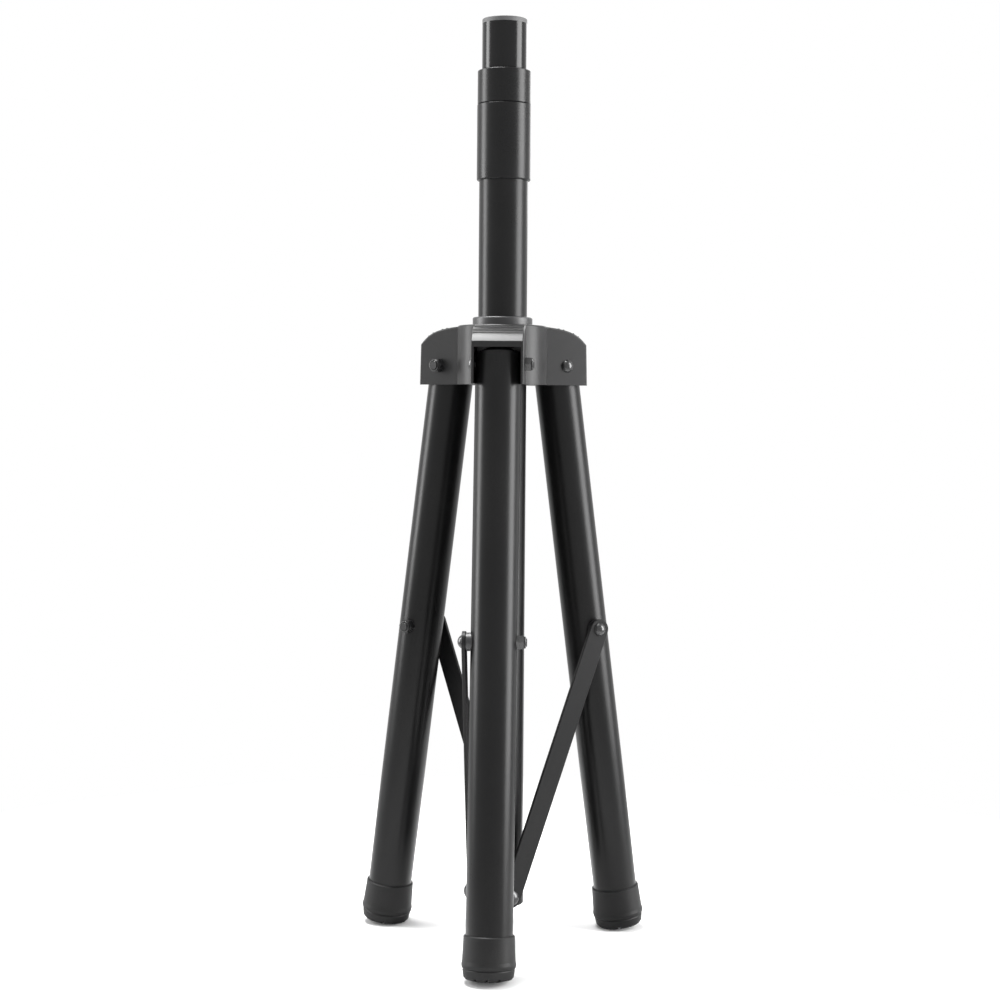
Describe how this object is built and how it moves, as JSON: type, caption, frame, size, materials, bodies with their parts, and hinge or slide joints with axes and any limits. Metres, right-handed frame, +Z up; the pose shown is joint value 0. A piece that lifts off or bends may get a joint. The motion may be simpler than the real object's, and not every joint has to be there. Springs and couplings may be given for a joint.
{
  "type": "speaker stand",
  "caption": "Folding tripod stand for a loudspeaker, with a telescoping pole, a twist clutch, braced legs and rubber feet.",
  "frame": {"origin": "middle of the footprint of the stand, on the floor under the feet", "axes": "+Z up along the pole; -Y towards leg 1; the lock knob is on the +Y side"},
  "size_m": [0.229, 0.2038, 0.724],
  "materials": {
    "tube_black": "satin black powder coat",
    "pole_black": "glossy black coat",
    "brace_black": "satin black powder coat",
    "fastener_black": "black plated",
    "zinc": "zinc plated",
    "hub_plastic": "satin moulded",
    "clutch_plastic": "satin moulded",
    "knob_plastic": "matte moulded",
    "nylon": "matte",
    "rubber": "matte"
  },
  "bodies": {
    "hub": {"hub_casting": "hub_plastic", "hub_bush": "nylon", "hub_pivot_bolts": "fastener_black", "hub_pivot_nuts": "fastener_black"},
    "clamp_shoe": {"clamp_shoe": "nylon"},
    "lock_knob": {"knob_stud": "zinc", "knob_grip": "knob_plastic"},
    "column": {"column_tube": "tube_black", "clutch_housing": "clutch_plastic", "brace_bracket": "tube_black", "bracket_rivets": "fastener_black"},
    "clutch_collet": {"clutch_collet": "nylon"},
    "clutch_nut": {"clutch_nut": "clutch_plastic"},
    "pole": {"pole_tube": "pole_black", "pole_cap": "nylon", "pole_guide": "nylon"},
    "leg_1": {"leg_tube_1": "tube_black", "leg_plug_1": "nylon", "foot_1": "rubber", "brace_bolt_1": "fastener_black", "brace_nut_1": "fastener_black", "brace_spacer_1": "fastener_black"},
    "brace_1": {"brace_bar_1": "brace_black"},
    "leg_2": {"leg_tube_2": "tube_black", "leg_plug_2": "nylon", "foot_2": "rubber", "brace_bolt_2": "fastener_black", "brace_nut_2": "fastener_black", "brace_spacer_2": "fastener_black"},
    "brace_2": {"brace_bar_2": "brace_black"},
    "leg_3": {"leg_tube_3": "tube_black", "leg_plug_3": "nylon", "foot_3": "rubber", "brace_bolt_3": "fastener_black", "brace_nut_3": "fastener_black", "brace_spacer_3": "fastener_black"},
    "brace_3": {"brace_bar_3": "brace_black"}
  },
  "joints": [
    {"name": "leg_fold", "type": "hinge", "parent": "hub", "child": "leg_1", "pos_m": [0, -0.01984, 0.4543], "axis": [-1, 0, 0], "range_deg": [-5, 25]},
    {"name": "leg_fold_2", "type": "hinge", "parent": "hub", "child": "leg_2", "pos_m": [0.0407, 0.05066, 0.4543], "axis": [0.5, -0.866, 0], "range_deg": [-5, 25]},
    {"name": "leg_fold_3", "type": "hinge", "parent": "hub", "child": "leg_3", "pos_m": [-0.0407, 0.05066, 0.4543], "axis": [0.5, 0.866, 0], "range_deg": [-5, 25]},
    {"name": "brace_turn_1", "type": "hinge", "parent": "leg_1", "child": "brace_1", "pos_m": [-0.0224, -0.04906, 0.24634], "axis": [-1, 0, 0], "range_deg": [-51.52, 10.35]},
    {"name": "brace_turn_2", "type": "hinge", "parent": "leg_2", "child": "brace_2", "pos_m": [0.07721, 0.04588, 0.24634], "axis": [0.5, -0.866, 0], "range_deg": [-51.52, 10.35]},
    {"name": "brace_turn_3", "type": "hinge", "parent": "leg_3", "child": "brace_3", "pos_m": [-0.05481, 0.08468, 0.24634], "axis": [0.5, 0.866, 0], "range_deg": [-51.52, 10.35]},
    {"name": "column_carry", "type": "hinge", "parent": "brace_1", "child": "column", "pos_m": [-0.0224, 0.02716, 0.03997], "axis": [-1, 0, 0], "range_deg": [-5.34, 26.52]},
    {"name": "lock_feed", "type": "slide", "parent": "hub", "child": "clamp_shoe", "axis": [0, 1, 0], "range_m": [0, 0.00255]},
    {"name": "knob_turn", "type": "hinge", "parent": "clamp_shoe", "child": "lock_knob", "pos_m": [0, 0.07416, 0.4593], "axis": [0, 1, 0], "range_deg": [0, 720]},
    {"name": "clutch_feed", "type": "slide", "parent": "column", "child": "clutch_collet", "axis": [0, 0, 1], "range_m": [0, 0.00105]},
    {"name": "clutch_turn", "type": "hinge", "parent": "clutch_collet", "child": "clutch_nut", "pos_m": [0, 0.02716, 0.6699], "axis": [0, 0, 1], "range_deg": [0, 120]},
    {"name": "pole_slide", "type": "slide", "parent": "column", "child": "pole", "axis": [0, 0, 1], "range_m": [0, 0.4]}
  ],
  "couplings": [
    {"joint": "leg_fold_2", "follows": "leg_fold", "ratio": 1},
    {"joint": "leg_fold_3", "follows": "leg_fold", "ratio": 1},
    {"joint": "brace_turn_1", "follows": "leg_fold", "ratio": -2.059},
    {"joint": "brace_turn_2", "follows": "leg_fold", "ratio": -2.059},
    {"joint": "brace_turn_3", "follows": "leg_fold", "ratio": -2.059},
    {"joint": "column_carry", "follows": "leg_fold", "ratio": 1.059},
    {"joint": "lock_feed", "follows": "knob_turn", "m_per_rad": 0.00019894},
    {"joint": "clutch_feed", "follows": "clutch_turn", "m_per_rad": 0.00047746}
  ]
}
